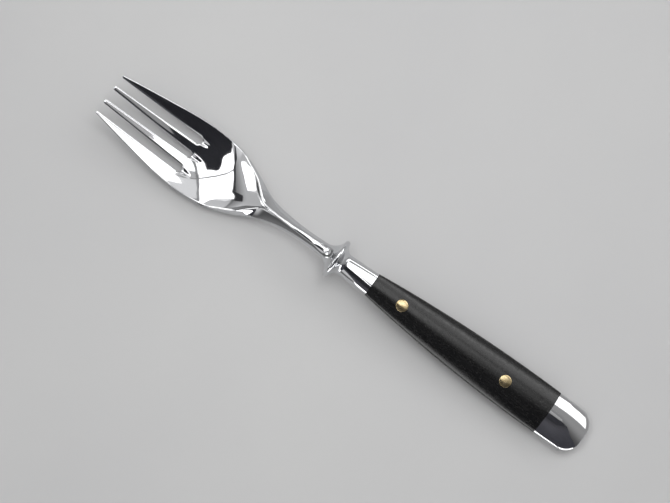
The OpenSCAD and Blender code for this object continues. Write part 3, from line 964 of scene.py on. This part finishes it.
def black_wood(name):
    """Black hardwood with fine pores along the handle, paler specks and a satin polish."""
    paint = Paint(name)
    grain = paint.noise(220, (0.3, 1, 1), detail=5, roughness=0.6)
    pores = paint.noise(1500, (0.4, 1, 1), detail=2)
    specks = paint.noise(2600, (0.7, 1, 1), detail=1)
    shade = paint.mixed(paint.spread(grain, 0, 1), (0.0012, 0.0012, 0.0014), (0.004, 0.0039, 0.0039))
    color = paint.mixed(paint.spread(specks, 0, 1, 0.66, 0.74), shade, (0.032, 0.031, 0.03))
    normal = paint.bump(pores, 2e-5, 0.3, paint.bump(grain, 4e-5, 0.25))
    return paint.finish(color, paint.spread(pores, 0.2, 0.3), normal, Specular_IOR_Level=0.5)


def brass(name):
    """Yellow brass with fine scratches along the handle."""
    paint = Paint(name)
    tone = paint.noise(700, detail=4)
    scratches = paint.noise(3500, (0.15, 1.5, 1), detail=2)
    color = paint.mixed(paint.spread(tone, 0, 1), (0.48, 0.38, 0.2), (0.68, 0.55, 0.34))
    roughness = paint.spread(scratches, 0.14, 0.26)
    return paint.finish(color, roughness, paint.bump(scratches, 4e-6, 0.3), metallic=1.0)


def matt_table(name):
    """Pale matt paper, faintly clouded."""
    paint = Paint(name)
    cloud = paint.noise(9, detail=3)
    fine = paint.noise(900, detail=2)
    color = paint.mixed(paint.spread(cloud, 0, 1), (0.55, 0.55, 0.555), (0.58, 0.58, 0.58))
    roughness = paint.spread(fine, 0.6, 0.75)
    return paint.finish(color, roughness, paint.bump(fine, 2e-5, 0.2), Specular_IOR_Level=0.0)


def felt(name, tone):
    """Matt felt, darker between its fibres."""
    paint = Paint(name)
    fibre = paint.noise(40, detail=3)
    color = paint.mixed(paint.spread(fibre, 0, 1), [0.7 * channel for channel in tone], tone)
    return paint.finish(color, paint.spread(fibre, 0.8, 0.95), paint.bump(fibre, 1e-3))


# The eight pieces
wood = black_wood("black_hardwood")
rivet_brass = brass("rivet_brass")
make_forging(polished_steel("forged_steel", (0.66, 0.665, 0.68), 0.035))
make_scale("scale_above", "upper_scale", 1, wood)
make_scale("scale_below", "lower_scale", -1, wood)
make_cap(polished_steel("cap_steel", (0.68, 0.68, 0.69), 0.045))
make_rivet("front", FRONT_RIVET, rivet_brass)
make_rivet("rear", REAR_RIVET, rivet_brass)

# Viewpoint in metres, with the directions of the picture and of the fork
YAW = math.radians(36.05)
TILT = math.radians(6)
DISTANCE = 0.6
LENS = 92.03
TARGET = Vector((-5.63, 1.97, 8.0)) * MM
UP = Vector((0, 0, 1))
RIGHT = Vector((math.cos(YAW), math.sin(YAW), 0))
AWAY = Vector((-math.sin(YAW), math.cos(YAW), 0))
BACK = math.cos(TILT) * UP - math.sin(TILT) * AWAY
ALONG = Vector((1, 0, 0))
ACROSS = Vector((0, 1, 0))


# Table, cards and lights
def stage_sheet(name, points, material):
    """One flat face that belongs to the stage."""
    mesh = bpy.data.meshes.new(name)
    mesh.from_pydata(points, [], [range(len(points))])
    mesh.materials.append(material)
    sheet = bpy.data.objects.new(name, mesh)
    bpy.context.scene.collection.objects.link(sheet)
    return sheet


def card(name, points, tone):
    """Matt card that only reflections show; its corners lie right of the fork, up the picture and above."""
    corners = [TARGET + RIGHT * x + AWAY * y + UP * z for x, y, z in points]
    sheet = stage_sheet(name, corners, felt(name, tone))
    sheet.visible_camera = sheet.visible_diffuse = sheet.visible_shadow = False


def level_card(name, edge, height, tone):
    card(name, [(x, y, height) for x, y in edge], tone)


def lamp(name, size, radiance, middle, turn, mirrored=False):
    """Soft rectangular light of a given brightness; a mirrored one only shows in reflections."""
    light = bpy.data.lights.new(name, "AREA")
    light.shape = "RECTANGLE"
    light.size, light.size_y = size
    light.energy = radiance * math.pi * light.size * light.size_y
    thing = bpy.data.objects.new(name, light)
    thing.location = TARGET + middle
    thing.rotation_euler = turn
    thing.visible_diffuse = not mirrored
    bpy.context.scene.collection.objects.link(thing)
    return thing


def panel(name, across, along, radiance, height=1.0, turn=0.0, mirrored=False):
    """Light that faces down, between two places to the picture's right and two up the picture."""
    middle = RIGHT * sum(across) / 2 + AWAY * sum(along) / 2 + UP * height
    size = (across[1] - across[0], along[1] - along[0])
    return lamp(name, size, radiance, middle, (0, 0, YAW + turn), mirrored)


def side_lamp(name, size, radiance, along, across, height, turn=0.0):
    """Small upright light beside the fork, which only the polished steel shows."""
    middle = ALONG * along + ACROSS * across + UP * height
    lamp(name, size, radiance, middle, (math.pi / 2, 0, turn), mirrored=True)


def make_sky():
    """Dim room: paler towards the horizon, to the right and above the front."""
    world = bpy.data.worlds.new("sky")
    world.use_nodes = True
    tree = world.node_tree
    way = tree.nodes.new("ShaderNodeTexCoord").outputs["Generated"]

    def glow(axis, start, end, low, high):
        dot = tree.nodes.new("ShaderNodeVectorMath")
        dot.operation = "DOT_PRODUCT"
        dot.inputs[1].default_value = axis
        tree.links.new(way, dot.inputs[0])
        ramp = tree.nodes.new("ShaderNodeMapRange")
        ramp.interpolation_type = "SMOOTHSTEP"
        set_range(ramp, start, end, low, high)
        tree.links.new(dot.outputs["Value"], ramp.inputs["Value"])
        return ramp.outputs["Result"]

    def total(first, second):
        node = tree.nodes.new("ShaderNodeMath")
        tree.links.new(first, node.inputs[0])
        tree.links.new(second, node.inputs[1])
        return node.outputs["Value"]

    horizon = glow(UP, 0.0, 0.4, 0.12, 0.0)
    right = glow(0.81 * RIGHT + 0.585 * AWAY, 0.0, 0.45, 0.05, 0.32)
    front = glow(0.77 * UP - 0.64 * ACROSS, 0.8, 0.98, 0.05, 0.7)
    background = tree.nodes["Background"]
    background.inputs["Color"].default_value = (1, 1, 1, 1)
    tree.links.new(total(total(horizon, right), front), background.inputs["Strength"])
    bpy.context.scene.world = world


TABLE_REACH = 3.0
TABLE_CORNERS = [(-1, -1, 0), (1, -1, 0), (1, 1, 0), (-1, 1, 0)]
stage_sheet("table", [TABLE_REACH * Vector(corner) for corner in TABLE_CORNERS], matt_table("table"))
make_sky()

# Cards, in metres from the fork: right and up the picture, or right and up from the table for the front one
DARK = (0.06, 0.06, 0.075)
SLATE = (0.12, 0.12, 0.14)
SMOKE = (0.14, 0.14, 0.15)
GREY = (0.5, 0.5, 0.5)
CARD_HEIGHT = 0.62
FRAME_HEIGHT = 0.98
BAR_HEIGHT = 0.985
FRONT_PLACE = -0.21
DARK_EDGE = [(-.412, -.135), (-.37, -.074), (-.31, -.055), (-.273, -.036), (-.24, -.02), (-.227, .002),
             (-.203, .062), (-.174, .108), (-.135, .125), (-.095, .118), (-.042, .119), (-.029, .059),
             (-.007, .019), (.03, -.005), (.055, -.04), (.07, -.1), (.05, -.2), (-.16, -.24), (-.39, -.2)]
CORNER_EDGE = [(.05, -.13), (.1, -.115), (.17, -.1), (.2, -.078), (.25, -.1), (.33, -.185), (.37, -.26),
               (.05, -.26)]
FRONT_EDGE = [(-.15, .03), (.17, .03), (.2, .22), (.36, .61), (-.15, .61)]
FRAME_EDGE = [(-.72, -.25), (-.68, -.25), (-.62, -.04), (-.62, .18), (-.56, .47), (-.52, .75), (-.58, .9),
              (-.6, 1.3), (-.84, 1.4), (-.82, .9), (-.62, .75), (-.63, .47), (-.7, .18), (-.7, -.04)]
BAR_EDGE = [(-.64, .145), (.08, .335), (.08, .36), (-.64, .17)]
level_card("dark_card", DARK_EDGE, CARD_HEIGHT, DARK)
level_card("panel_frame", FRAME_EDGE, FRAME_HEIGHT, SMOKE)
card("front_card", [(x, FRONT_PLACE, z) for x, z in FRONT_EDGE], DARK)
level_card("corner_card", CORNER_EDGE, CARD_HEIGHT, SLATE)
level_card("panel_bar", BAR_EDGE, BAR_HEIGHT, GREY)

# Lights, in metres from the fork
panel("back_panel", (-0.55, 0.3), (1.18, 2.4), 0.42)
panel("narrow_panel", (0.12, 0.35), (0.38, 0.95), 0.62)
panel("narrow_middle", (0.12, 0.36), (-0.02, 0.36), 0.32)
panel("narrow_front", (0.09, 0.4), (-0.3, -0.02), 0.25)
for strip in range(5):
    left = -0.68 - 0.06 * strip
    panel(f"left_edge_{strip}", (left, left + 0.06), (-0.3, 2.4), 0.14 + 0.08 * strip)
panel("corner_panel", (-0.682, -0.262), (0.948, 1.248), 0.5, 0.99, math.radians(46))
panel("left_panel", (-2.3, -0.92), (-0.3, 2.4), 0.52, mirrored=True)
panel("left_window", (-2.0, -1.05), (0.06, 0.64), 2.4, 0.99, mirrored=True)
panel("middle_panel", (-0.62, 0.08), (0.27, 1.15), 2.3, mirrored=True)
panel("front_panel", (-0.7, 0.09), (-0.25, 0.27), 2.3, mirrored=True)
panel("sheen_panel", (0.75, 1.45), (0.95, 1.9), 1.9)
side_lamp("edge_panel", (0.15, 0.06), 3.0, 0.08, -0.13, 0.022)
side_lamp("corner_light", (0.08, 0.06), 3.0, 0.19, -0.09, 0.022, math.pi / 4)
side_lamp("collar_light", (0.2, 0.08), 2.2, -0.43, -0.27, 0.03, -math.pi / 3)
panel("spot_panel", (-0.17, -0.09), (-0.31, -0.23), 2.3, 0.2)
panel("tine_panel", (0.165, 0.3), (0.07, 0.34), 2.0, 0.65)
panel("bolster_panel", (0.06, 0.165), (0, 0.16), 2.0, 0.65)
panel("right_panel", (1.75, 6.15), (0.14, 3.14), 1.8, 3.0, math.radians(-32.3))
fill = panel("table_fill", (-0.15, 0.15), (-0.09, 0.21), 3.75, 0.45)
fill.visible_camera = fill.visible_glossy = False

# Camera
camera = bpy.data.objects.new("camera", bpy.data.cameras.new("camera"))
camera.data.lens = LENS
camera.data.sensor_width = 36
camera.data.clip_start = 0.01
camera.location = TARGET + BACK * DISTANCE
camera.rotation_euler = Matrix((RIGHT, BACK.cross(RIGHT), BACK)).transposed().to_euler()
bpy.context.scene.collection.objects.link(camera)
bpy.context.scene.camera = camera
bpy.context.scene.view_settings.view_transform = "Standard"
